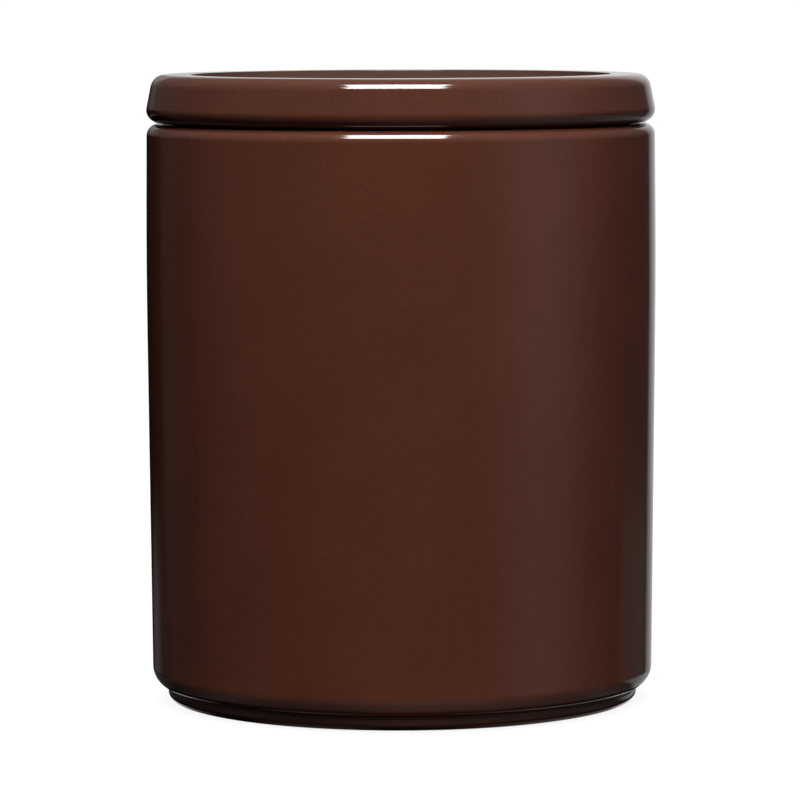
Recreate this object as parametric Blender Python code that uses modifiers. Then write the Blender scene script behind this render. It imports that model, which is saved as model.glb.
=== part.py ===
"""Glazed ceramic storage jar with a lift-off lid.

The jar comes apart into three pieces, all turned about the upright axis Z: the jar's body,
the lid with the hollow spigot that drops into the mouth, and a soft seal ring that is
stretched over the spigot. The seal's flange lies on the jar's rim and carries the lid, its
ribs fill the mouth, and the bead at its lower end sits in a groove of the spigot.

Sizes are in metres. The jar stands on z = 0, and the lid and the seal are drawn from the
jar's rim, which is where they lift off.
"""

from math import acos, atan2, ceil, cos, pi, radians, sin, tan

import bpy
from mathutils import Vector

# Room left between two pieces that touch on the real jar
CLEARANCE = 0.0003

# Jar body, outside
BODY_HEIGHT = 0.1421  # from the foot to the rim
BODY_RADIUS = 0.0627  # at the belly, where the wall would be widest
BELLY_DROP = 0.0350  # from the rim down to the belly
BELLY_CURVE = 1.8  # radius of the long curve that turns the wall at the belly
SHOULDER_TAPER = 0.0003  # by which the wall draws in from the belly to the rim
BASE_TAPER = 0.0010  # by which it draws in from the belly to the heel
SHOULDER_ROUND = 0.0030
HEEL_ROUND = 0.0053
HEEL_RISE = 0.0021  # by which the heel slopes up from the foot to the wall

# Foot ring
FOOT_HEIGHT = 0.0030
FOOT_INSET = 0.0038  # from the wall in to the foot
FOOT_WIDTH = 0.0063
FOOT_ROUND = 0.0018
FOOT_RECESS = 0.0015  # by which the base inside the ring stands clear of the table

# Jar body, inside
WALL = 0.0057  # at the belly
FLOOR = 0.0060
INNER_ROUND = 0.0060  # between floor and wall
MOUTH_ROUND = 0.0008

# Seal ring
SEAL_OVERLAP = 0.0016  # from the mouth out over the rim
SEAL_FLANGE = 0.0011
SEAL_SKIRT = 0.0010
SEAL_DEPTH = 0.0090  # from the rim down
SEAL_ROUND = 0.0004
RIB_COUNT = 2
RIB_REACH = 0.0008
RIB_THICKNESS = 0.0010
RIB_DROP = 0.0026  # from the rim down to the first rib
RIB_SPACING = 0.0026
BEAD_GRIP = 0.0004  # by which the bead reaches into the spigot
BEAD_HEIGHT = 0.0014

# Lid, outside
LID_OVERHANG = 0.0001  # from the belly out to the lid's edge, before its rounding
LID_GAP = 0.0004  # between the rim and the lid's lip
LIP_WIDTH = 0.0014
LIP_ROUND = 0.0004
SLOPE_HEIGHT = 0.00155  # from the lip up the sloping under-face to the lid's edge
SIDE_HEIGHT = 0.01005  # from that edge up to the top
SIDE_DRAFT = 0.0020  # by which the side leans in towards the top
EDGE_ROUND = 0.0030
TOP_ROUND = 0.0035
RIM_WIDTH = 0.0092  # from the side's top in to the recess
RIM_ROUND = 0.0008
RECESS_DEPTH = 0.0050
RECESS_ROUND = 0.0020

# Lid, inside
PLATE = 0.0055  # under the recess
PLATE_ROUND = 0.0025
SPIGOT_WALL = 0.0045
SPIGOT_TOE = 0.0025  # by which the spigot reaches below the seal
TOE_ROUND = 0.0010

# Fineness of the turned faces
SEGMENTS = 60
ARC_STEP = radians(30)

# Radii that the pieces share
BORE = BODY_RADIUS - WALL
SEAL_INNER = BORE - CLEARANCE - RIB_REACH - SEAL_SKIRT
SPIGOT_RADIUS = SEAL_INNER - CLEARANCE
FLANGE_RADIUS = BORE + SEAL_OVERLAP
BEAD_RADIUS = SPIGOT_RADIUS - BEAD_GRIP


def look_round(before, corner, after):
    """Directions from a corner to its two neighbours, and half the angle between them."""
    place = Vector(corner[:2])
    to_before = (Vector(before[:2]) - place).normalized()
    to_after = (Vector(after[:2]) - place).normalized()
    half_angle = acos(max(-1.0, min(1.0, to_before.dot(to_after)))) / 2
    return to_before, to_after, half_angle


def full_reach(before, corner, after):
    """How far from a corner its rounding starts, where there is room for it."""
    if corner[2] == 0:
        return 0
    return corner[2] / tan(look_round(before, corner, after)[2])


def share(start, end, wanted):
    """The part of what the roundings at both ends of a side want that fits on it."""
    length = (Vector(end[:2]) - Vector(start[:2])).length
    return min(1, 0.98 * length / wanted)


def fillet(before, corner, after, reach):
    """Points of the arc that rounds a corner and starts at that reach from it."""
    to_before, to_after, half_angle = look_round(before, corner, after)
    radius = reach * tan(half_angle)
    place = Vector(corner[:2])
    centre = place + (to_before + to_after).normalized() * (radius / sin(half_angle))
    start = place + to_before * reach - centre
    end = place + to_after * reach - centre
    first = atan2(start.y, start.x)
    turn = (atan2(end.y, end.x) - first + pi) % (2 * pi) - pi
    steps = max(2, ceil(abs(turn) / ARC_STEP))
    angles = [first + turn * i / steps for i in range(steps + 1)]
    return [centre + Vector((cos(angle), sin(angle))) * radius for angle in angles]


def rounded(corners):
    """Turn corners (radius from the axis, height, rounding) into the points of an outline."""
    last = len(corners) - 1
    around = [(corners[i - 1], corner, corners[i + 1 if i < last else 0])
              for i, corner in enumerate(corners)]
    reaches = [full_reach(*three) for three in around]
    points = []
    for i, (before, corner, after) in enumerate(around):
        reach = reaches[i]
        if reach == 0:
            points.append(Vector(corner[:2]))
            continue
        after_reach = reaches[i + 1 if i < last else 0]
        fits = min(share(before, corner, reach + reaches[i - 1]), share(corner, after, reach + after_reach))
        points += fillet(before, corner, after, reach * fits)
    return points


def body_corners():
    """The body from the middle of its floor, up the bore, over the rim and down the outside."""
    floor_top = FOOT_RECESS + FLOOR
    belly_height = BODY_HEIGHT - BELLY_DROP
    heel_radius = BODY_RADIUS - BASE_TAPER
    foot_radius = heel_radius - FOOT_INSET
    return [
        (0, floor_top, 0),
        (BORE, floor_top, INNER_ROUND),
        (BORE, BODY_HEIGHT, MOUTH_ROUND),
        (BODY_RADIUS - SHOULDER_TAPER, BODY_HEIGHT, SHOULDER_ROUND),
        (BODY_RADIUS, belly_height, BELLY_CURVE),
        (heel_radius, FOOT_HEIGHT + HEEL_RISE, HEEL_ROUND),
        (foot_radius, FOOT_HEIGHT, 0),
        (foot_radius, 0, FOOT_ROUND),
        (foot_radius - FOOT_WIDTH, 0, 0),
        (foot_radius - FOOT_WIDTH - FOOT_RECESS, FOOT_RECESS, 0),
        (0, FOOT_RECESS, 0),
    ]


def rib_corners(height):
    """One sealing rib round the outside of the skirt."""
    skirt_radius = SEAL_INNER + SEAL_SKIRT
    rib_radius = skirt_radius + RIB_REACH
    upper = height + RIB_THICKNESS / 2
    lower = height - RIB_THICKNESS / 2
    return [
        (skirt_radius, upper, 0),
        (rib_radius, upper, SEAL_ROUND),
        (rib_radius, lower, SEAL_ROUND),
        (skirt_radius, lower, 0),
    ]


def seal_corners():
    """The seal's closed section, with height 0 at the jar's rim."""
    flange_top = CLEARANCE + SEAL_FLANGE
    bead_top = BEAD_HEIGHT - SEAL_DEPTH
    skirt_radius = SEAL_INNER + SEAL_SKIRT
    ribs = []
    for i in range(RIB_COUNT):
        ribs += rib_corners(-RIB_DROP - i * RIB_SPACING)
    return [
        (SEAL_INNER, flange_top, 0),
        (FLANGE_RADIUS, flange_top, SEAL_ROUND),
        (FLANGE_RADIUS, CLEARANCE, SEAL_ROUND),
        (skirt_radius, CLEARANCE, 0),
        *ribs,
        (skirt_radius, -SEAL_DEPTH, SEAL_ROUND),
        (BEAD_RADIUS, -SEAL_DEPTH, SEAL_ROUND),
        (BEAD_RADIUS, bead_top, SEAL_ROUND),
        (SEAL_INNER, bead_top, 0),
    ]


def lid_corners():
    """The lid from the middle of its recess, over its rim and round the spigot.

    Height 0 is at the jar's rim.
    """
    edge_radius = BODY_RADIUS + LID_OVERHANG
    edge_height = LID_GAP + SLOPE_HEIGHT
    top = edge_height + SIDE_HEIGHT
    top_radius = edge_radius - SIDE_DRAFT
    recess_radius = top_radius - RIM_WIDTH
    recess_floor = top - RECESS_DEPTH
    plate_bottom = recess_floor - PLATE
    rebate_radius = FLANGE_RADIUS + CLEARANCE
    rebate_height = CLEARANCE + SEAL_FLANGE + CLEARANCE
    groove_radius = BEAD_RADIUS - CLEARANCE
    groove_top = BEAD_HEIGHT - SEAL_DEPTH + CLEARANCE
    groove_bottom = -SEAL_DEPTH - CLEARANCE
    toe = -SEAL_DEPTH - SPIGOT_TOE
    spigot_inner = SPIGOT_RADIUS - SPIGOT_WALL
    return [
        (0, recess_floor, 0),
        (recess_radius, recess_floor, RECESS_ROUND),
        (recess_radius, top, RIM_ROUND),
        (top_radius, top, TOP_ROUND),
        (edge_radius, edge_height, EDGE_ROUND),
        (rebate_radius + LIP_WIDTH, LID_GAP, LIP_ROUND),
        (rebate_radius, LID_GAP, 0),
        (rebate_radius, rebate_height, 0),
        (SPIGOT_RADIUS, rebate_height, 0),
        (SPIGOT_RADIUS, groove_top, 0),
        (groove_radius, groove_top, 0),
        (groove_radius, groove_bottom, 0),
        (SPIGOT_RADIUS, groove_bottom, 0),
        (SPIGOT_RADIUS, toe, TOE_ROUND),
        (spigot_inner, toe, TOE_ROUND),
        (spigot_inner, plate_bottom, PLATE_ROUND),
        (0, plate_bottom, 0),
    ]


def make_material(name, colour, roughness):
    """A plain surface: colour as linear red, green and blue."""
    material = bpy.data.materials.new(name)
    material.use_nodes = True
    shader = material.node_tree.nodes["Principled BSDF"]
    shader.inputs["Base Color"].default_value = (*colour, 1)
    shader.inputs["Roughness"].default_value = roughness
    shader.inputs["Metallic"].default_value = 0
    material.diffuse_color = (*colour, 1)
    return material


def turn_piece(name, points, closed, material, collection):
    """Turn an outline once round the Z axis into a solid piece."""
    edges = [(i, i + 1) for i in range(len(points) - 1)]
    if closed:
        edges.append((len(points) - 1, 0))
    mesh = bpy.data.meshes.new(name)
    mesh.from_pydata([(point.x, 0, point.y) for point in points], edges, [])
    mesh.materials.append(material)
    piece = bpy.data.objects.new(name, mesh)
    collection.objects.link(piece)
    screw = piece.modifiers.new("Turn", "SCREW")
    screw.axis = "Z"
    screw.angle = 2 * pi
    screw.steps = SEGMENTS
    screw.render_steps = SEGMENTS
    screw.use_merge_vertices = True
    screw.merge_threshold = 0.00001
    screw.use_smooth_shade = True
    return piece


def add_axis(name, height, collection):
    """An empty on the jar's axis that carries a piece as it moves."""
    axis = bpy.data.objects.new(name, None)
    axis.empty_display_type = "SINGLE_ARROW"
    axis.empty_display_size = BODY_RADIUS
    axis.location.z = height
    collection.objects.link(axis)
    return axis


def build():
    for old in list(bpy.data.objects):
        bpy.data.objects.remove(old)
    jar = bpy.data.collections.new("storage_jar")
    bpy.context.scene.collection.children.link(jar)

    body_glaze = make_material("body_glaze", (0.054, 0.020, 0.012), 0.12)
    lid_glaze = make_material("lid_glaze", (0.057, 0.021, 0.013), 0.12)
    seal_silicone = make_material("seal_silicone", (0.022, 0.020, 0.019), 0.55)

    turn_piece("jar_body", rounded(body_corners()), False, body_glaze, jar)
    seal = turn_piece("seal_ring", rounded(seal_corners()), True, seal_silicone, jar)
    lid = turn_piece("lid", rounded(lid_corners()), False, lid_glaze, jar)

    lift_axis = add_axis("lid_lift_axis", BODY_HEIGHT, jar)
    turn_axis = add_axis("lid_turn_axis", 0, jar)
    turn_axis.parent = lift_axis
    seal.parent = lift_axis
    lid.parent = turn_axis


build()
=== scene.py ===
# %% [markdown]
# # A glazed storage jar
#
# This lesson dresses a round ceramic storage jar. The CAD model says where everything is and how
# large it is, and this file gives each piece its finer shape and its finish. The jar has three
# pieces: the body, the lid, and the soft seal that hides between them.
#
# The frame is loaded first. Its nodes keep their places for the motion, and each piece made here
# rides on one of its bodies. All sizes are in metres, and the jar's axis is Z.

# %% Load the frame
from math import acos, ceil, hypot, pi, radians, sin, tan

import bmesh
import bpy
from mathutils import Matrix, Vector


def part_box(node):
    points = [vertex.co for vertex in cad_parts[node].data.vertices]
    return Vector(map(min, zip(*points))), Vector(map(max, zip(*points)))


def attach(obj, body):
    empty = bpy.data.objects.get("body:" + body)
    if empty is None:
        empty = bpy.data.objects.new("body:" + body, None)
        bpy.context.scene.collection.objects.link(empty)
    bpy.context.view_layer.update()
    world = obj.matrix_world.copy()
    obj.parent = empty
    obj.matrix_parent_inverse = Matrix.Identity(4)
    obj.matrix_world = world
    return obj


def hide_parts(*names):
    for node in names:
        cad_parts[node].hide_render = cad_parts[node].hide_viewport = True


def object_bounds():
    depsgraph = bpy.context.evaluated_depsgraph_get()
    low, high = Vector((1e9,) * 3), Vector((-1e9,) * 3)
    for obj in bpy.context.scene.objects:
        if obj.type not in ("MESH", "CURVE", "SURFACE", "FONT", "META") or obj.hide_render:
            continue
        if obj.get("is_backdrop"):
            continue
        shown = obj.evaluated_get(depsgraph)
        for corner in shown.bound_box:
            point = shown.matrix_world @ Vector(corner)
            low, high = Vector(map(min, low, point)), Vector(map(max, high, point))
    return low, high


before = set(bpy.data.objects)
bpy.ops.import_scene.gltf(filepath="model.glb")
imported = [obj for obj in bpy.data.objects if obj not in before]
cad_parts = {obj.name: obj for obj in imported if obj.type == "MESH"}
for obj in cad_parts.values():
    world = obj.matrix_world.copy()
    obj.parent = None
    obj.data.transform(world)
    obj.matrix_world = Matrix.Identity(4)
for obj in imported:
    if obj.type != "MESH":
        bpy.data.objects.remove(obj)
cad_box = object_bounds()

body_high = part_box("jar_body")[1]
lid_low, lid_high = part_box("lid")
seal_low, seal_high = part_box("seal_ring")
print(f"body {body_high.x * 2000:.2f} mm across, rim at {body_high.z * 1000:.2f} mm")
print(f"lid {lid_high.x * 2000:.2f} mm across, top at {lid_high.z * 1000:.2f} mm")
print(f"seal {seal_high.x * 2000:.2f} mm across, {(seal_high.z - seal_low.z) * 1000:.2f} mm tall")

# %% [markdown]
# ## Round corners
#
# A glazed pot has no sharp corner: each one is an arc that meets its two sides smoothly, and the
# size of that arc decides how wide its highlight is. A bevel would be quick, but at a corner that
# isn't square it gives a squashed arc. So the outline of a piece is written as a list of corners,
# each a radius from the axis, a height and a rounding, and one helper works out where the arc of
# each corner starts, where its centre is and how far it turns.

# %% Work out the arc of a corner
SIDES_ROUND = 192  # sides round a turned piece
FINE_TURN = radians(7)  # how far an arc turns at each step


def corner_arc(before, corner, after):
    """Start and centre of a corner's arc, and how far it turns, seen with X right and Z up."""
    place = Vector(corner[:2])
    to_before = (Vector(before[:2]) - place).normalized()
    to_after = (Vector(after[:2]) - place).normalized()
    half_angle = acos(to_before.dot(to_after)) / 2
    start = place + to_before * (corner[2] / tan(half_angle))
    centre = place + (to_before + to_after).normalized() * (corner[2] / sin(half_angle))
    way = 1 if to_before.cross(to_after) < 0 else -1
    return start, centre, way * (pi - 2 * half_angle)


def arc_steps(turn):
    """How many straight steps an arc is drawn with."""
    return max(4, ceil(abs(turn) / FINE_TURN))


print("a square corner takes", arc_steps(pi / 2), "steps")

# %% [markdown]
# ## Selecting by place
#
# An operator acts on all that is selected, and a new primitive is selected all over. By hand, a
# click picks what comes next. Faces could be picked by their number instead, but the numbers change
# with every extrude, and places don't. So these helpers open a piece in edit mode with nothing
# selected, and then select the faces or edges that pass a test on where they are.

# %% Open a piece and pick parts of it
def nothing_selected():
    """Leaves edit mode and deselects every object."""
    if bpy.context.object and bpy.context.object.mode != "OBJECT":
        bpy.ops.object.mode_set(mode="OBJECT")
    bpy.ops.object.select_all(action="DESELECT")


def open_piece(name):
    """Names the new primitive, puts its place into its mesh and opens it in edit mode."""
    piece = bpy.context.object
    piece.name = name
    piece.data.name = name
    bpy.ops.object.transform_apply(location=True, rotation=True, scale=True)
    bpy.ops.object.mode_set(mode="EDIT")
    bpy.ops.mesh.select_all(action="DESELECT")
    return piece


def pick_faces(piece, wanted):
    """Selects the faces for which wanted(radius, height, normal) is true, and counts them."""
    bpy.ops.mesh.select_mode(type="FACE")
    bpy.ops.mesh.select_all(action="DESELECT")
    mesh = bmesh.from_edit_mesh(piece.data)
    chosen = []
    for face in mesh.faces:
        middle = face.calc_center_median()
        if wanted(hypot(middle.x, middle.y), middle.z, face.normal):
            chosen.append(face)
    for face in chosen:
        face.select_set(True)
    bmesh.update_edit_mesh(piece.data)
    return len(chosen)


def pick_edges(piece, wanted):
    """Selects the edges of which both ends pass wanted(radius, height), and counts them."""
    bpy.ops.mesh.select_mode(type="EDGE")
    bpy.ops.mesh.select_all(action="DESELECT")
    mesh = bmesh.from_edit_mesh(piece.data)
    chosen = [e for e in mesh.edges if all(wanted(hypot(v.co.x, v.co.y), v.co.z) for v in e.verts)]
    for edge in chosen:
        edge.select_set(True)
    bmesh.update_edit_mesh(piece.data)
    return len(chosen)


print("faces are picked by radius, height and normal, and edges by radius and height")

# %% [markdown]
# ## The body
#
# The real body is cast or thrown: a foot ring that stands in from the wall, a heel that curves out
# from it, a wall that swells very slightly to a belly, a rounded shoulder, and the bore inside. It
# could be one spun outline. Here it is pulled up ring by ring instead, the way a potter raises a
# wall: a flat cylinder is the foot, and its top face is extruded and resized to each next ring,
# up the outside, over the rim and down the bore to the floor. The foot's top keeps a small ledge
# under the heel, where the turning tool stopped.

# %% The body's outline
rim_height = body_high.z
belly_radius = 0.06269  # the long curve at the belly takes a little off this
belly_height = rim_height - 0.0350
shoulder_radius = belly_radius - 0.0003
heel_radius = belly_radius - 0.0010
foot_radius = heel_radius - 0.0038
foot_height = 0.0030
wall = 0.0057
floor_thickness = 0.0060
standing_width = 0.0063  # from the foot's side to the inside of the ring it stands on
bore_radius = belly_radius - wall
base_recess = 0.0015
floor_height = base_recess + floor_thickness
foot_inner = foot_radius - standing_width
ledge = 0.0005  # the foot's top stands out this far under the heel
dry_step = 0.00012  # by which the bare clay stands below the glaze

body_outside = [  # radius, height and rounding of each corner, from the foot up and in
    (foot_radius, dry_step, 0.0018),
    (foot_radius, foot_height, 0.0003),
    (foot_radius - ledge, foot_height + 0.0001, 0.0002),
    (heel_radius, foot_height + 0.0021, 0.0053),
    (belly_radius, belly_height, 1.7),
    (shoulder_radius, rim_height, 0.0029),
    (bore_radius, rim_height, 0.0008),
    (bore_radius, floor_height, 0.0060),
    (0, floor_height, 0),
]
print(f"wall {wall * 1000:.1f} mm, floor {floor_height * 1000:.1f} mm up")

# %% [markdown]
# The cap is the face that is pulled. Moving it without resizing makes a straight wall, and
# resizing it without moving makes a flat rim, so one helper does for the whole outline.

# %% Pull a wall ring by ring
disc_thickness = 0.00001  # the first disc is as good as flat
same_place = 0.00002  # rings nearer than this are one ring
middle_radius = 0.012  # the last ring, closed by a fan of triangles to the axis


def pull_ring(now, radius, height):
    """Extrudes the selected cap from the ring where it is now to the next ring."""
    bpy.ops.mesh.extrude_region_move(TRANSFORM_OT_translate={"value": (0, 0, height - now[1])})
    share = radius / now[0]
    bpy.ops.transform.resize(value=(share, share, 1), center_override=(0, 0, height))
    return radius, height


def rings_of(before, corner, after):
    """The rings, as radius and height, that draw one rounded corner."""
    start, centre, turn = corner_arc(before, corner, after)
    arm = start - centre
    rings = []
    steps = arc_steps(turn)
    for i in range(steps + 1):
        point = centre + Matrix.Rotation(turn * i / steps, 2) @ arm
        rings.append((point.x, point.y))
    return rings


flat_foot = (foot_inner, dry_step, 0)
outside = [flat_foot, *body_outside]
first_rings = rings_of(outside[0], outside[1], outside[2])
nothing_selected()
foot_edge = first_rings[0][0]  # where the flat of the foot meets its rounding
bpy.ops.mesh.primitive_cylinder_add(vertices=SIDES_ROUND, radius=foot_edge, depth=disc_thickness,
                                    location=(0, 0, dry_step + disc_thickness / 2))
body = open_piece("glazed_body")
pick_faces(body, lambda radius, height, normal: normal.z > 0.9)
now = (foot_edge, dry_step + disc_thickness)
for i in range(1, len(outside) - 1):
    for ring in rings_of(outside[i - 1], outside[i], outside[i + 1]):
        if abs(ring[0] - now[0]) + abs(ring[1] - now[1]) > same_place:
            now = pull_ring(now, *ring)
now = pull_ring(now, middle_radius, floor_height)
bpy.ops.mesh.poke()
print("the cap ends at", [round(value * 1000, 2) for value in now], "mm")

# %% [markdown]
# ## Under the body
#
# The foot's standing face is left bare, or the pot would stick to the kiln shelf. The glaze stops
# in a soft edge just above the shelf, and the bare clay stands a little proud of it. Underneath,
# the base is recessed so that the jar rests on a ring and doesn't rock. The bare ring could be a
# matter of colour alone, but its edge catches light, so it is inset from the flat and pulled down.

# %% Foot ring and recessed base
bare_margin = 0.0003  # between the edge of the glaze and the bare clay
corner_out, corner_up = 0.0004, 0.0002  # the ring's inner corners are cut by this much

base_faces = pick_faces(body, lambda radius, height, normal: normal.z < -0.9 and radius < 0.001)
now = (foot_edge, dry_step)
for ring in [(foot_inner, dry_step), (foot_inner - corner_out, dry_step + corner_up),
             (foot_inner - base_recess + corner_out, base_recess - corner_up),
             (foot_inner - base_recess, base_recess), (middle_radius, base_recess)]:
    now = pull_ring(now, *ring)
bpy.ops.mesh.poke()
standing = pick_faces(body, lambda radius, height, normal:
                      normal.z < -0.9 and foot_inner < radius < foot_edge and height < 0.0002)
bpy.ops.mesh.inset(thickness=bare_margin)
bpy.ops.mesh.extrude_region_move(TRANSFORM_OT_translate={"value": (0, 0, -dry_step)})
print(base_faces, "base face,", standing, "faces on the standing ring")

# %% [markdown]
# ## Smooth shading
#
# A glossy face shows every error in its shading. More and more faces would hide the errors in the
# end. Two settings do it sooner: edges are smooth unless they turn sharply, and the normals are
# weighted by the size of the faces, so that a big flat face stays flat right up to the small faces
# of the arc beside it. Before that, doubles are merged and all faces are turned outwards.

# %% Close and shade a piece
MERGE_DISTANCE = 0.000002
SHARP_TURN = radians(35)


def edge_uses(piece):
    """How many faces use each edge: two everywhere on a closed skin."""
    uses = {}
    for face in piece.data.polygons:
        for key in face.edge_keys:
            uses[key] = uses.get(key, 0) + 1
    return uses


def finish_piece(piece):
    """Merges doubles, turns the faces outwards, shades the piece and counts its faces."""
    bpy.ops.mesh.select_all(action="SELECT")
    bpy.ops.mesh.remove_doubles(threshold=MERGE_DISTANCE)
    bpy.ops.mesh.normals_make_consistent(inside=False)
    bpy.ops.object.mode_set(mode="OBJECT")
    bpy.ops.object.select_all(action="DESELECT")
    piece.select_set(True)
    bpy.context.view_layer.objects.active = piece
    bpy.ops.object.shade_smooth_by_angle(angle=SHARP_TURN)
    weighted = piece.modifiers.new("Weighted normals", "WEIGHTED_NORMAL")
    weighted.keep_sharp = True
    bpy.ops.object.modifier_apply(modifier=weighted.name)
    piece.data.calc_loop_triangles()
    open_edges = sum(1 for count in edge_uses(piece).values() if count != 2)
    print(piece.name, "has", len(piece.data.loop_triangles), "triangles and", open_edges, "open edges")


finish_piece(body)

# %% [markdown]
# ## The lid
#
# The lid is turned too, but its outline doubles back on itself: a raised rim round a recess on
# top, a rounded edge, an under-face that slopes in to a thin lip, a rebate that takes the seal's
# flange, and the hollow spigot with a groove for the seal's bead. A profile like that is easier to
# draw than to pull. It starts as one vertex on the axis. A straight run is an extrusion of that
# vertex and a rounding is a spin of it, and at the end the whole line is spun once round the axis.

# %% The lid's outline
seal_play = 0.0003  # the seal is drawn this far clear of what it touches
flange_radius = seal_high.x
seal_inner = 0.0549
spigot_radius = seal_inner - seal_play
bead_radius = spigot_radius - 0.0004
bead_height = 0.0014
groove_radius = bead_radius - seal_play
seal_foot = seal_low.z
groove_top = seal_foot + bead_height + seal_play
lid_edge_radius = belly_radius + 0.0001
lip_height = rim_height + 0.0004  # the dark gap between body and lid
lid_edge_height = lip_height + 0.00155  # where the sloping under-face meets the side
lid_top = lid_high.z
rim_width = 0.0092
rim_outer = lid_edge_radius - 0.0020  # the side leans in towards the top
recess_radius = rim_outer - rim_width
recess_floor = lid_top - 0.0050
rebate_radius = flange_radius + seal_play
rebate_height = seal_high.z + seal_play
plate_bottom = recess_floor - 0.0055  # the plate is what carries the recess
toe_height = lid_low.z
spigot_inner = spigot_radius - 0.0045

lid_outline = [  # from the middle of the recess out, round the edge and in under the plate
    (0, recess_floor, 0),
    (recess_radius, recess_floor, 0.0020),
    (recess_radius, lid_top, 0.00015),
    (rim_outer, lid_top, 0.0035),
    (lid_edge_radius, lid_edge_height, 0.0030),
    (rebate_radius + 0.0014, lip_height, 0.0004),
    (rebate_radius, lip_height, 0.0002),
    (rebate_radius, rebate_height, 0.0002),
    (spigot_radius, rebate_height, 0.0002),
    (spigot_radius, groove_top, 0.0002),
    (groove_radius, groove_top, 0.0002),
    (groove_radius, seal_foot - seal_play, 0.0002),
    (spigot_radius, seal_foot - seal_play, 0.0002),
    (spigot_radius, toe_height, 0.0010),
    (spigot_inner, toe_height, 0.0010),
    (spigot_inner, plate_bottom, 0.0025),
    (0, plate_bottom, 0),
]
print(f"the lid's rim is {rim_width * 1000:.1f} mm wide")

# %% [markdown]
# A Bezier curve could hold the outline too, but its handles would have to be worked out for each
# rounding. A vertex that is extruded and spun needs only what the corner helper gives: where the
# arc starts, its centre and its turn. The vertex itself is a tiny plane merged to its middle.

# %% Draw an outline with one vertex
def start_outline(name, radius, height):
    """A plane merged to one vertex, which is where the outline starts."""
    nothing_selected()
    bpy.ops.mesh.primitive_plane_add(size=0.001, location=(radius, 0, height))
    piece = open_piece(name)
    bpy.ops.mesh.select_mode(type="VERT")
    bpy.ops.mesh.select_all(action="SELECT")
    bpy.ops.mesh.merge(type="CENTER")
    return piece


def draw_to(now, place):
    """A straight run: the end vertex is extruded to the place."""
    move = place - now
    if move.length > MERGE_DISTANCE:
        bpy.ops.mesh.extrude_vertices_move(TRANSFORM_OT_translate={"value": (move.x, 0, move.y)})
    return place


def draw_arc(now, centre, turn):
    """A rounding: the end vertex is spun round the arc's centre."""
    bpy.ops.mesh.spin(steps=arc_steps(turn), angle=turn, center=(centre.x, 0, centre.y), axis=(0, 1, 0))
    return centre + Matrix.Rotation(turn, 2) @ (now - centre)


lid = start_outline("glazed_lid", *lid_outline[0][:2])
pen = Vector(lid_outline[0][:2])
for before, corner, after in zip(lid_outline, lid_outline[1:], lid_outline[2:]):
    start, centre, turn = corner_arc(before, corner, after)
    pen = draw_to(pen, start)
    pen = draw_arc(pen, centre, turn)
pen = draw_to(pen, Vector(lid_outline[-1][:2]))
print("the outline has", len(bmesh.from_edit_mesh(lid.data).verts), "points and ends at", pen.to_tuple(5))

# %% [markdown]
# On the wheel the clay turns and the tool stands still. Here the line turns instead, with as many
# steps as the body has sides, and the last step is merged with the first. Both ends of the line
# lie on the axis, so the lid closes on itself.

# %% Turn the outline round the axis
def turn_outline(steps):
    bpy.ops.mesh.select_all(action="SELECT")
    bpy.ops.mesh.spin(steps=steps, angle=2 * pi, center=(0, 0, 0), axis=(0, 0, 1), use_auto_merge=True)


turn_outline(SIDES_ROUND)
finish_piece(lid)

# %% [markdown]
# ## The seal
#
# Between body and lid sits a soft ring. The photograph shows only the dark gap that it keeps, so
# its shape is what such seals have: a flange that lies on the rim, a thin skirt with two ribs that
# fill the mouth, and a bead inside the skirt's lower end that grips the spigot. It is made like a
# plumbing part, from a tube: a cylinder whose ends are inset, opened and bridged. Then the tube is
# cut into rings, and the rings that stand out are extruded.

# %% A tube
seal_height = seal_high.z - seal_foot
skirt_thickness = 0.0010
skirt_radius = seal_inner + skirt_thickness
nothing_selected()
bpy.ops.mesh.primitive_cylinder_add(vertices=SIDES_ROUND, radius=skirt_radius, depth=seal_height,
                                    location=(0, 0, seal_foot + seal_height / 2))
seal = open_piece("silicone_seal")
pick_faces(seal, lambda radius, height, normal: abs(normal.z) > 0.9)
bpy.ops.mesh.inset(thickness=skirt_thickness)
bpy.ops.mesh.delete(type="ONLY_FACE")
inner_edges = pick_edges(seal, lambda radius, height: radius < skirt_radius - skirt_thickness / 2)
bpy.ops.mesh.bridge_edge_loops()
print(inner_edges, "edges bridged into the tube's inner wall")

# %% [markdown]
# Flange, ribs and bead are rings that stand out from the tube. Rings of their own, joined to it,
# would need a boolean and leave messy seams. A bisect cuts a clean loop of edges round the tube
# instead, and the band between two loops is extruded and resized to its new radius.

# %% Cut rings and pull out flange, ribs and bead
flange_low = rim_height + seal_play
rib_heights = [rim_height - 0.0026, rim_height - 0.0052]
half_rib = 0.0005
rib_radius = skirt_radius + 0.0008
bead_top = seal_foot + bead_height
cuts = [flange_low, bead_top]
for height in rib_heights:
    cuts += [height + half_rib, height - half_rib]
for height in cuts:
    bpy.ops.mesh.select_all(action="SELECT")
    bpy.ops.mesh.bisect(plane_co=(0, 0, height), plane_no=(0, 0, 1))


def widen_ring(piece, low, high, old_radius, new_radius):
    """Extrudes the wall between two heights and resizes it to a new radius."""
    count = pick_faces(piece, lambda radius, height, normal:
                       low < height < high and abs(radius - old_radius) < 0.0003 and abs(normal.z) < 0.5)
    bpy.ops.mesh.extrude_region_move(TRANSFORM_OT_translate={"value": (0, 0, 0)})
    share = new_radius / old_radius
    bpy.ops.transform.resize(value=(share, share, 1), center_override=(0, 0, 0))
    return count


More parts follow.
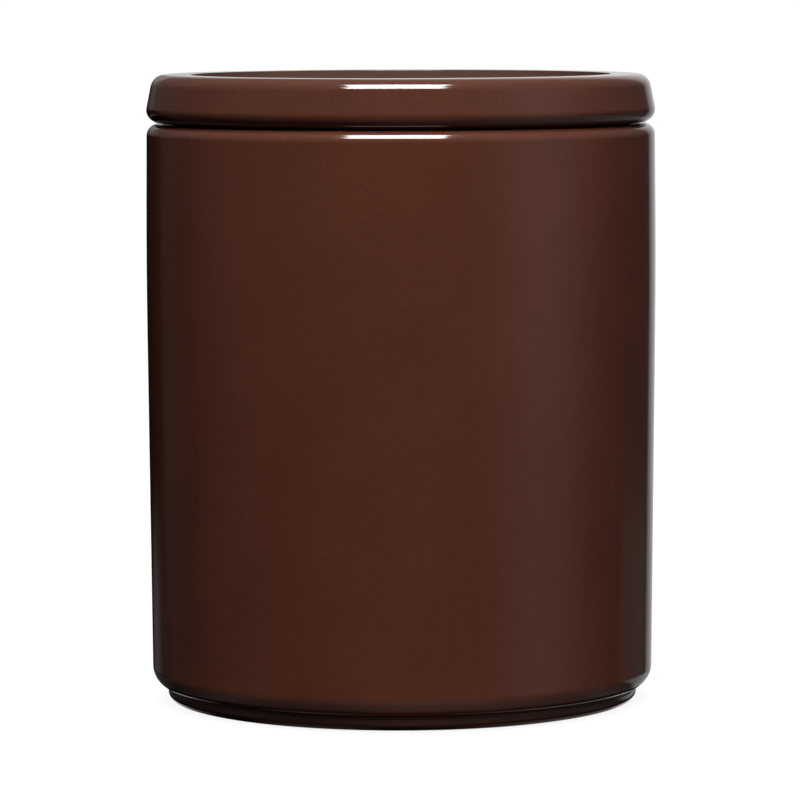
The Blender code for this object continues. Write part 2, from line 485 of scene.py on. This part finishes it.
widen_ring(seal, flange_low, seal_high.z, skirt_radius, flange_radius)
for height in rib_heights:
    widen_ring(seal, height - half_rib, height + half_rib, skirt_radius, rib_radius)
bead_faces = widen_ring(seal, seal_foot, bead_top, seal_inner, bead_radius)
print(len(cuts), "loops cut, and", bead_faces, "faces pulled in to make the bead")

# %% [markdown]
# Moulded silicone has soft corners, because the mould's own corners are rounded. All of these
# corners are square, and at a square corner a bevel gives a true arc.

# %% Round the seal's corners
soft_corner = 0.00035
corner_rings = [(flange_radius, seal_high.z), (flange_radius, flange_low),
                (skirt_radius, seal_foot), (bead_radius, seal_foot),
                (bead_radius, bead_top), (seal_inner, seal_high.z)]
for height in rib_heights:
    corner_rings += [(rib_radius, height + half_rib), (rib_radius, height - half_rib)]
rounded_edges = pick_edges(seal, lambda radius, height: any(
    abs(radius - ring[0]) < 0.0001 and abs(height - ring[1]) < 0.0001 for ring in corner_rings))
bpy.ops.mesh.bevel(offset=soft_corner, segments=4, profile=0.5, affect="EDGES", clamp_overlap=False)
print(rounded_edges, "edges rounded")
finish_piece(seal)

# %% [markdown]
# ## Finishes
#
# A finish on a real pot is never one flat colour. It could be painted as an image, but an image
# needs an unwrapped mesh and blurs when you come close. So each material here is built from nodes
# that read the piece's own Object coordinates, and a speck stays in its place on the pot from every
# side. Small helpers keep the node trees readable: the first adds a node and plugs in what feeds
# it, and the others make the steps, noise, specks and blends that the finishes share.

# %% Node helpers
def add_node(tree, kind, settings, **feeds):
    """Adds a node. A feed is a number, a colour or a node's output, and is named after its input,
    or _0, _1 and so on where the inputs share a name."""
    node = tree.nodes.new(kind)
    for name, value in settings.items():
        setattr(node, name, value)
    for name, value in feeds.items():
        plug = node.inputs[int(name[1:])] if name[0] == "_" else node.inputs[name.replace("_", " ")]
        if isinstance(value, bpy.types.NodeSocket):
            tree.links.new(value, plug)
        else:
            plug.default_value = value
    return node


def calculate(tree, operation, *values):
    """A Math node's value."""
    feeds = {f"_{i}": value for i, value in enumerate(values)}
    return add_node(tree, "ShaderNodeMath", {"operation": operation}, **feeds).outputs["Value"]


def soft_step(tree, value, start, end, low=0.0, high=1.0):
    """Low before the start, high after the end, and smooth between them."""
    return add_node(tree, "ShaderNodeMapRange", {"interpolation_type": "SMOOTHSTEP"}, Value=value,
                    From_Min=start, From_Max=end, To_Min=low, To_Max=high).outputs["Result"]


def noise(tree, place, size, detail, low, high):
    """Noise with patches of about that size in metres, spread from low to high."""
    cloud = add_node(tree, "ShaderNodeTexNoise", {}, Vector=place, Scale=1 / size, Detail=detail)
    spread = add_node(tree, "ShaderNodeMapRange", {}, Value=cloud.outputs["Fac"],
                      From_Min=0.3, From_Max=0.7, To_Min=low, To_Max=high)
    return spread.outputs["Result"]


def specks(tree, place, spacing, radius, share):
    """1 on round specks of that radius in a share of the cells, and 0 between them."""
    cells = add_node(tree, "ShaderNodeTexVoronoi", {}, Vector=place, Scale=1 / spacing)
    share_of_cell = radius / spacing
    near = soft_step(tree, cells.outputs["Distance"], share_of_cell * 0.5, share_of_cell * 1.3, 1.0, 0.0)
    lot = add_node(tree, "ShaderNodeSeparateColor", {}, Color=cells.outputs["Color"])
    drawn = calculate(tree, "LESS_THAN", lot.outputs["Red"], share)
    return calculate(tree, "MULTIPLY", near, drawn)


def mix_colour(tree, factor, first, second, how="MIX"):
    """Blends two colours by a factor."""
    return add_node(tree, "ShaderNodeMix", {"data_type": "RGBA", "blend_type": how},
                    _0=factor, _6=first, _7=second).outputs[2]


def new_finish(name, colour):
    """A material with its Principled shader, and the coordinates that its patterns read."""
    finish = bpy.data.materials.new(name)
    finish.use_nodes = True
    finish.diffuse_color = (*colour, 1)
    tree = finish.node_tree
    place = add_node(tree, "ShaderNodeTexCoord", {}).outputs["Object"]
    return finish, tree, tree.nodes["Principled BSDF"], place


print("finishes read Object coordinates")

# %% [markdown]
# ## Brown glaze
#
# The glaze is a deep reddish brown with a glassy face. Seen close, its colour drifts a little over
# a few centimetres, it is peppered with fine specks, and its skin isn't flat: it has the slight
# orange peel of glass that has flowed and set, which makes the edge of a highlight uneven. The peel
# is only a few thousandths of a millimetre high, so it is a bump and not geometry. On the steep
# wall of the lid's recess the colour is painted paler and greyer: a painted sheen on that wall.

# %% Make the glaze
def painted_recess_sheen(tree, place):
    """1 on the lid's steep recess wall, where a paler, greyer colour is painted as a sheen."""
    parts = add_node(tree, "ShaderNodeSeparateXYZ", {}, Vector=place)
    across = add_node(tree, "ShaderNodeCombineXYZ", {}, X=parts.outputs["X"], Y=parts.outputs["Y"])
    radius = add_node(tree, "ShaderNodeVectorMath", {"operation": "LENGTH"}, _0=across.outputs["Vector"])
    from_axis = radius.outputs["Value"]
    outside = soft_step(tree, from_axis, recess_radius - 0.0014, recess_radius - 0.0004)
    inside = soft_step(tree, from_axis, recess_radius + 0.0001, recess_radius + 0.0006, 1.0, 0.0)
    above = soft_step(tree, parts.outputs["Z"], recess_floor + 0.0003, recess_floor + 0.0015)
    return calculate(tree, "MULTIPLY", calculate(tree, "MULTIPLY", outside, inside), above)


def brown_glaze(name, shift, painted_shade_factor):
    """Glossy brown glaze. shift moves the pattern, so body and lid aren't twins."""
    # the last argument darkens the whole colour: painted shade where it is below 1
    colour = (0.0535 * painted_shade_factor, 0.0163 * painted_shade_factor, 0.0094 * painted_shade_factor)
    finish, tree, shader, place = new_finish(name, colour)
    moved = add_node(tree, "ShaderNodeMapping", {}, Vector=place, Location=shift).outputs["Vector"]
    lighter = (colour[0] * 1.05, colour[1] * 1.06, colour[2] * 1.07, 1)
    darker = (colour[0] * 0.95, colour[1] * 0.94, colour[2] * 0.93, 1)
    drift = mix_colour(tree, noise(tree, moved, 0.022, 2, 0, 1), darker, lighter)
    grain = noise(tree, moved, 0.0013, 3, 0.92, 1.08)
    grain = add_node(tree, "ShaderNodeCombineColor", {}, Red=grain, Green=grain, Blue=grain)
    mottled = mix_colour(tree, 1.0, drift, grain.outputs["Color"], "MULTIPLY")
    pale = specks(tree, moved, 0.0030, 0.00016, 0.35)
    dark = specks(tree, moved, 0.0036, 0.00020, 0.4)
    peppered = mix_colour(tree, pale, mottled, (0.095, 0.045, 0.032, 1))
    peppered = mix_colour(tree, dark, peppered, (0.034, 0.012, 0.008, 1))
    # painted sheen: on the recess wall the colour is mixed to a paler, greyer brown
    coat = mix_colour(tree, painted_recess_sheen(tree, place), peppered, (0.062, 0.034, 0.0255, 1))
    tree.links.new(coat, shader.inputs["Base Color"])
    tree.links.new(noise(tree, moved, 0.006, 2, 0.07, 0.11), shader.inputs["Roughness"])
    shader.inputs["IOR"].default_value = 1.5
    peel = noise(tree, moved, 0.0032, 2, 0, 1)
    sag = noise(tree, moved, 0.018, 1, 0, 1)
    sagged = add_node(tree, "ShaderNodeBump", {}, Height=sag, Distance=0.00002).outputs["Normal"]
    peeled = add_node(tree, "ShaderNodeBump", {}, Height=peel, Distance=0.000004, Normal=sagged)
    tree.links.new(peeled.outputs["Normal"], shader.inputs["Normal"])
    return finish


body_glaze = brown_glaze("body_glaze", (0.31, 0.12, 0.05), 1.0)
# painted shade: the lid's copy of the glaze is made 14% darker than the body's
lid_glaze = brown_glaze("lid_glaze", (0.07, 0.52, 0.23), 0.86)
print("glazes:", body_glaze.name, lid_glaze.name)

# %% [markdown]
# ## Bare clay and silicone
#
# Where the glaze stops, the fired clay shows: pale, matte and gritty. The silicone of the seal is
# dark and dull, with the faint bloom of dust that silicone always picks up. Both could be one flat
# colour with a high roughness, but then they would look like plastic. Noise in the colour, the
# roughness and the bump, each at its own scale, gives the clay its tooth and the silicone its skin.

# %% Make the clay and the silicone
def bare_clay(name):
    colour = (0.42, 0.30, 0.21)
    finish, tree, shader, place = new_finish(name, colour)
    drift = mix_colour(tree, noise(tree, place, 0.005, 3, 0, 1),
                       (0.36, 0.25, 0.17, 1), (0.46, 0.34, 0.25, 1))
    grit = specks(tree, place, 0.0016, 0.00013, 0.5)
    tree.links.new(mix_colour(tree, grit, drift, (0.12, 0.07, 0.05, 1)), shader.inputs["Base Color"])
    tree.links.new(noise(tree, place, 0.002, 2, 0.75, 0.9), shader.inputs["Roughness"])
    tooth = noise(tree, place, 0.0004, 3, 0, 1)
    rough = add_node(tree, "ShaderNodeBump", {}, Height=tooth, Distance=0.00003)
    tree.links.new(rough.outputs["Normal"], shader.inputs["Normal"])
    return finish


def dark_silicone(name):
    colour = (0.022, 0.020, 0.019)
    finish, tree, shader, place = new_finish(name, colour)
    dust = noise(tree, place, 0.004, 4, 0, 1)
    tree.links.new(mix_colour(tree, dust, (0.018, 0.016, 0.015, 1), (0.030, 0.028, 0.027, 1)),
                   shader.inputs["Base Color"])
    tree.links.new(noise(tree, place, 0.003, 2, 0.5, 0.65), shader.inputs["Roughness"])
    skin = noise(tree, place, 0.0006, 2, 0, 1)
    dull = add_node(tree, "ShaderNodeBump", {}, Height=skin, Distance=0.000008)
    tree.links.new(dull.outputs["Normal"], shader.inputs["Normal"])
    return finish


foot_clay = bare_clay("foot_clay")
seal_silicone = dark_silicone("seal_silicone")
print("also", foot_clay.name, "and", seal_silicone.name)

# %% [markdown]
# The glaze covers both body and lid. Only the standing faces stay bare: the flat of the foot ring,
# and the end of the lid's spigot, on which the lid stood in the kiln. A mask in the glaze could
# show them, but its edge would be only as sharp as the mask. Giving the faces a second material
# puts the line exactly on the edge that the foot ring has for it.

# %% Dress the pieces
def dress(piece, *finishes):
    piece.data.materials.clear()
    for finish in finishes:
        piece.data.materials.append(finish)


def bare_faces(piece, wanted):
    """Gives the second material to faces for which wanted(radius, height) is true."""
    count = 0
    for face in piece.data.polygons:
        if wanted(hypot(face.center.x, face.center.y), face.center.z):
            face.material_index = 1
            count += 1
    return count


dress(body, body_glaze, foot_clay)
dress(lid, lid_glaze, foot_clay)
dress(seal, seal_silicone)
sliver = 0.00001
bare_foot = bare_faces(body, lambda radius, height:
                       foot_inner + bare_margin - sliver < radius < foot_edge - bare_margin + sliver
                       and height < dry_step - sliver)
bare_toe = bare_faces(lid, lambda radius, height: height < toe_height + 0.0002)
print(bare_foot, "bare faces on the foot,", bare_toe, "on the spigot")

# %% [markdown]
# ## Riding on the frame
#
# Each piece stands for its CAD node and moves with that node's body, so the seal rises with the lid
# and the lid turns inside it, just as the frame says. The nodes could be shown in the new finishes
# instead, but their faces are too coarse for a gloss.

# %% Hand the pieces to the frame
for piece, node, body_name, slot_name in [(body, "jar_body", "jar", "brown_glaze"),
                                          (seal, "seal_ring", "seal", "silicone"),
                                          (lid, "lid", "lid", "brown_glaze")]:
    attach(piece, body_name)
    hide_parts(node)
    print(piece.name, "rides on", body_name, "and stands for", node)

# %% [markdown]
# ## The studio
#
# A glossy pot shows the room more than itself. The photograph was taken against white, with one
# softbox above and in front, a soft card to the right and darkness nearly everywhere else, so that
# is what the pot gets to see. A plain grey surrounding would be quicker, but the glaze would look
# like paint. The camera itself sees only a pale floor and plain white behind it.
#
# Light that changes with direction is written as a list of stops and read off a colour ramp, which
# is easier to tune than a row of lamps. These helpers make such a ramp, mix two shaders and lay a
# flat piece of the stage, which isn't part of the jar.

# %% Helpers for the stage
def stage_plane(name, size, height):
    nothing_selected()
    bpy.ops.mesh.primitive_plane_add(size=size, location=(0, 0, height))
    plane = bpy.context.object
    plane.name = name
    bpy.ops.object.transform_apply(location=True, rotation=True, scale=True)
    plane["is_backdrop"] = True
    return plane


def mix_shaders(tree, factor, first, second):
    return add_node(tree, "ShaderNodeMixShader", {}, _0=factor, _1=first, _2=second).outputs[0]


def light_ramp(tree, angle, stops):
    """The light at an angle, read off a list of (angle in degrees, light)."""
    low, high = stops[0][0], stops[-1][0]
    along = add_node(tree, "ShaderNodeMapRange", {}, Value=angle,
                     From_Min=radians(low), From_Max=radians(high))
    ramp = add_node(tree, "ShaderNodeValToRGB", {}, Fac=along.outputs["Result"])
    marks = ramp.color_ramp.elements
    marks[0].color = (*[stops[0][1]] * 3, 1)
    marks[1].color = (*[stops[-1][1]] * 3, 1)
    for degrees, light in stops[1:-1]:
        marks.new((degrees - low) / (high - low)).color = (light, light, light, 1)
    return ramp.outputs["Color"]


def compass_of(tree, parts):
    """The compass direction of a vector: 0 is toward the camera, and positive is to the right."""
    forward = calculate(tree, "MULTIPLY", parts.outputs["Y"], -1.0)
    return calculate(tree, "ARCTAN2", parts.outputs["X"], forward)


print("the compass runs from -180 to 180 degrees")

# %% [markdown]
# ## The floor
#
# The jar stands on white paper. To the camera the paper is an even pale glow, a shade darker where
# the foot comes close, which an Ambient Occlusion node finds. The pot's own rays see something
# else: two rings of light that the paper throws up. The narrow one lies right at the foot and
# draws a thin line under the heel. The wide one lights the foot's side and the heel from below,
# and gives more light than its mirror image shows, because it stands in for all the paper round
# it. Both change round the compass as they do in the photograph. Plain white paper would be
# simpler, but it would light the lower half of the pot far more than the studio's dark table did,
# so under the jar and beyond the rings the floor is clear to the pot's rays.

# %% Lay the floor
foot_ring_light = [(-180, 0.4), (-95, 1.0), (-80, 0.9), (-70, 0.6), (-62, 0.2), (-52, 0.02),
                   (-40, 0), (-26, 0.14), (-13, 0.10), (-4, 0), (12, 0.03), (25, 0.16), (40, 0.30),
                   (54, 0.28), (62, 0.35), (70, 0.9), (95, 1.0), (180, 0.4)]
foot_ring_edges = (0.0540, 0.0555, 0.0579, 0.0585)  # radii: clear up to, full from, full to, gone by
paper_ring_light = [(-180, 0.3), (-110, 0.1), (-84, 0.05), (-77, 0.03), (-65, 0.05), (-48, 0.17),
                    (-30, 0.12), (-15, 0.16), (0, 0.28), (15, 0.27), (30, 0.22), (48, 0.17), (60, 0.20),
                    (68, 0.11), (78, 0.07), (83, 0.6), (100, 0.7), (180, 0.3)]
paper_ring_edges = (0.0598, 0.0622, 0.0780, 0.0850)
mirrored_share, lighting_share = 0.62, 3.2  # of the wide ring's light, by what the ray is for
floor = stage_plane("floor", 12, 0)
floor_finish = bpy.data.materials.new("pale_floor")
floor_finish.use_nodes = True
tree = floor_finish.node_tree
tree.nodes.clear()
# painted contact shadow: the paper's glow is dimmed where Ambient Occlusion finds the foot close
nearness = add_node(tree, "ShaderNodeAmbientOcclusion", {"samples": 8}, Distance=0.03)
paper_light = soft_step(tree, nearness.outputs["AO"], 0.0, 0.8, 0.88, 1.05)
paper = add_node(tree, "ShaderNodeEmission", {}, Strength=paper_light).outputs[0]
place = add_node(tree, "ShaderNodeTexCoord", {}).outputs["Object"]
compass = compass_of(tree, add_node(tree, "ShaderNodeSeparateXYZ", {}, Vector=place))
from_axis = add_node(tree, "ShaderNodeVectorMath", {"operation": "LENGTH"}, _0=place).outputs["Value"]
narrow = calculate(tree, "MULTIPLY", light_ramp(tree, compass, foot_ring_light),
                   soft_step(tree, from_axis, *foot_ring_edges[2:], 1.0, 0.0))
wide = calculate(tree, "MULTIPLY", light_ramp(tree, compass, paper_ring_light),
                 soft_step(tree, from_axis, *paper_ring_edges[:2]))
path = add_node(tree, "ShaderNodeLightPath", {})
share = soft_step(tree, path.outputs["Is Diffuse Ray"], 0, 1, mirrored_share, lighting_share)
wide = calculate(tree, "MULTIPLY", wide, share)
both = calculate(tree, "ADD", narrow, wide)
bounce = add_node(tree, "ShaderNodeEmission", {}, Strength=both).outputs[0]
clear = add_node(tree, "ShaderNodeBsdfTransparent", {}).outputs[0]
rings = mix_shaders(tree, soft_step(tree, from_axis, *foot_ring_edges[:2]), clear, bounce)
rings = mix_shaders(tree, soft_step(tree, from_axis, *paper_ring_edges[2:]), rings, clear)
seen = mix_shaders(tree, path.outputs["Is Camera Ray"], rings, paper)
below = add_node(tree, "ShaderNodeNewGeometry", {}).outputs["Backfacing"]
add_node(tree, "ShaderNodeOutputMaterial", {}, Surface=mix_shaders(tree, below, seen, clear))
floor.data.materials.append(floor_finish)
print(floor.name, "with", len(foot_ring_light), "and", len(paper_ring_light), "stops of bounced light")

# %% [markdown]
# ## The softbox
#
# One soft square of light hangs above and in front. It does two jobs: its mirror image is the
# bright streak on the lid's edge and on the shoulder, and it lights the glaze. One lamp could do
# both, but a real room blurs the second job. So each job has its own: two lamps that are only
# mirrored, the lower one wider so that the streak keeps its width, and one that only lights. A
# weaker lamp behind lights the back, which the photograph doesn't show.

# %% Hang the softbox
lid_middle = Vector((0, 0, 0.154))
softbox_place = Vector((-0.0285, -0.545, 0.993))
softbox_size = (0.589, 0.60)


def softbox(name, middle, lower, size, energy):
    """A flat lamp aimed at the lid, that the camera doesn't see, moved down along its own face."""
    box = bpy.data.objects.new(name, bpy.data.lights.new(name, "AREA"))
    bpy.context.scene.collection.objects.link(box)
    box.data.shape = "RECTANGLE"
    box.data.size, box.data.size_y = size
    box.data.energy = energy
    box.rotation_euler = (lid_middle - middle).to_track_quat("-Z", "Y").to_euler()
    box.location = middle - box.rotation_euler.to_matrix() @ Vector((0, lower, 0))
    box.visible_camera = False
    return box


mirrored_box = softbox("mirrored_softbox", softbox_place, 0, softbox_size, 31.5)
mirrored_strip = softbox("mirrored_strip", softbox_place, 0.20, (0.70, 0.20), 12.5)
mirrored_box.visible_diffuse = False
mirrored_strip.visible_diffuse = False
lighting_box = softbox("lighting_softbox", Vector((0.008, -0.545, 0.993)), 0, softbox_size, 30.5)
lighting_box.visible_glossy = False
back_box = softbox("back_softbox", Vector((0, 1.15, 0.40)), 0, (0.90, 0.60), 16)
back_box.visible_glossy = False
for box in (mirrored_box, mirrored_strip, lighting_box, back_box):
    print(box.name, "at", [round(value, 3) for value in box.location])

# %% [markdown]
# ## The painted room
#
# The rest of the room is painted on the world round the pot, because a painted room has soft edges
# and no stands. It has three layers. A ramp over the compass direction holds the cards and the
# dark gaps that the wall mirrors, and fades above and below. A ramp over the height is the pale
# ceiling. The third layer is a short list of cards with soft edges. The pot mirrors all three.
# What lights it from round about is the first layer alone, and the camera sees white.

# %% Paint the room
compass_light = [(-180, 1.0), (-174.5, 0.003), (-150, 0.002), (-141, 0.002), (-137, 0.035),
                 (-134, 0.045), (-127, 0.06), (-119, 0.032), (-106, 0.020), (-94, 0.045), (-80, 0.072),
                 (-66, 0.046), (-52, 0.020), (-30, 0.025), (28, 0.040), (40, 0.11), (52, 0.27),
                 (64, 0.41), (78, 0.32), (90, 0.15), (102, 0.06), (112, 0.045), (150.5, 0.045),
                 (153.5, 0.42), (157, 0.58), (166, 0.85), (180, 1.0)]
compass_share = [(-90, 0.4), (-20, 0.5), (-8.5, 0.75), (-2, 1), (20, 1), (35, 0.8), (50, 0.1), (90, 0)]
ceiling_light = [(-90, 0), (-1, 0), (4, 0.025), (12, 0.08), (20, 0.15), (33, 0.19), (50, 0.30),
                 (65, 0.42), (90, 0.45)]
fill_strength = 1.35
# Each card: compass from and to, its soft edge, height from and to, its soft edge, and its light.
# A card has no edge where its angle is -400, 400 or -100, past the end of the compass or the height.
cards = [
    ("strip behind, left", -400, -172, 2, 0.3, 2.2, 0.6, 1.0),
    ("high card, left", -400, -170, 3, 13, 26, 3, 0.5),
    ("high card, right", 165, 400, 3, 5, 26, 3, 0.85),
    ("small card, far left", -177, -160, 2, 5, 16, 1.5, 0.33),
    ("grey card, far left", -168, -151, 4, 1.5, 13, 2, 0.13),
    ("grey card, left", -154, -134, 5, 1.5, 13, 2, 0.06),
    ("low card, far left", -163, -147, 8, -9.5, -6.9, 0.9, 0.11),
    ("low card, left", -150, -132, 6, -9.5, -6.9, 0.9, 0.035),
    ("low card, right", 118, 149, 5, -12, -6.3, 1.0, 0.10),
    ("table, front and right", -25, 165, 15, -100, -16, 5, 0.10),
    ("table, right", 50, 165, 15, -100, -15, 5, 0.24),
]
world = bpy.data.worlds.new("studio")
bpy.context.scene.world = world
world.use_nodes = True
tree = world.node_tree
tree.nodes.clear()
direction = add_node(tree, "ShaderNodeTexCoord", {}).outputs["Generated"]
parts = add_node(tree, "ShaderNodeSeparateXYZ", {}, Vector=direction)
compass = compass_of(tree, parts)
height = calculate(tree, "ARCSINE", parts.outputs["Z"])
around = light_ramp(tree, compass, compass_light)
mirrored = calculate(tree, "MULTIPLY", around, light_ramp(tree, height, compass_share))
print(len(compass_light), "stops round the room")

# %% [markdown]
# A card is a patch of light between two compass directions and two heights. Real planes of light
# would do too, but each of them would also light the pot, and these only show in it. The brighter
# of card and ramp is what shows, and the ceiling is added over both.

# %% Put up the cards
def window(tree, angle, start, end, soft):
    """1 between two angles in degrees and 0 outside them, with soft edges."""
    rise = soft_step(tree, angle, radians(start - soft), radians(start + soft))
    fall = soft_step(tree, angle, radians(end - soft), radians(end + soft), 1.0, 0.0)
    return calculate(tree, "MULTIPLY", rise, fall)


for name, start, end, soft, low, high, edge, light in cards:
    across = window(tree, compass, start, end, soft)
    upward = window(tree, height, low, high, edge)
    patch = calculate(tree, "MULTIPLY", calculate(tree, "MULTIPLY", across, upward), light)
    mirrored = calculate(tree, "MAXIMUM", mirrored, patch)
mirrored = calculate(tree, "ADD", mirrored, light_ramp(tree, height, ceiling_light))
reflections = add_node(tree, "ShaderNodeBackground", {}, Strength=mirrored).outputs[0]
fill = add_node(tree, "ShaderNodeBackground", {}, Color=around, Strength=fill_strength).outputs[0]
white = add_node(tree, "ShaderNodeBackground", {}, Color=(1, 1, 1, 1), Strength=1.0).outputs[0]
path = add_node(tree, "ShaderNodeLightPath", {})
unseen = mix_shaders(tree, path.outputs["Is Diffuse Ray"], reflections, fill)
room = mix_shaders(tree, path.outputs["Is Camera Ray"], unseen, white)
add_node(tree, "ShaderNodeOutputWorld", {}, Surface=room)
print(len(cards), "cards up")

# %% [markdown]
# ## The camera
#
# The photograph was taken from a little above the jar's rim with a long lens, from about eight jar
# heights away. A nearer camera with a short lens could fill the frame as well, but it would bend
# the rims more than the photograph does. So distance, height, pitch and lens were fitted together,
# to the outline of the real jar.

# %% Place the camera
CAMERA_DISTANCE = 1.1966
CAMERA_HEIGHT = 0.1781
CAMERA_PITCH = 0.0870  # this and the next two are in radians
CAMERA_ROLL = 0.0028
CAMERA_PAN = 0.00031
LENS = 218.9  # in millimetres, for a sensor 36 mm wide

camera = bpy.data.objects.new("camera", bpy.data.cameras.new("camera"))
bpy.context.scene.collection.objects.link(camera)
camera.location = (0, -CAMERA_DISTANCE, CAMERA_HEIGHT)
turn = Matrix.Rotation(CAMERA_PAN, 3, "Z") @ Matrix.Rotation(pi / 2 - CAMERA_PITCH, 3, "X")
turn = turn @ Matrix.Rotation(-CAMERA_ROLL, 3, "Z")
camera.rotation_euler = turn.to_euler()
camera.data.lens = LENS
camera.data.sensor_width = 36
camera.data.clip_end = 60
bpy.context.scene.camera = camera
bpy.context.scene.view_settings.view_transform = "Standard"
print(f"camera {CAMERA_DISTANCE:.3f} m away, lens {LENS} mm")

# %% [markdown]
# ## The size of the dressed jar
#
# The dressed jar has to stay inside the CAD model's box, because the collision shapes and the fit of
# the part come from that model. So both boxes are written down and can be compared.

# %% Print the boxes and finish
dressed_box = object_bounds()
for name, box in [("CAD", cad_box), ("dressed", dressed_box)]:
    print(name, [round(value * 1000, 2) for corner in box for value in corner], "mm")
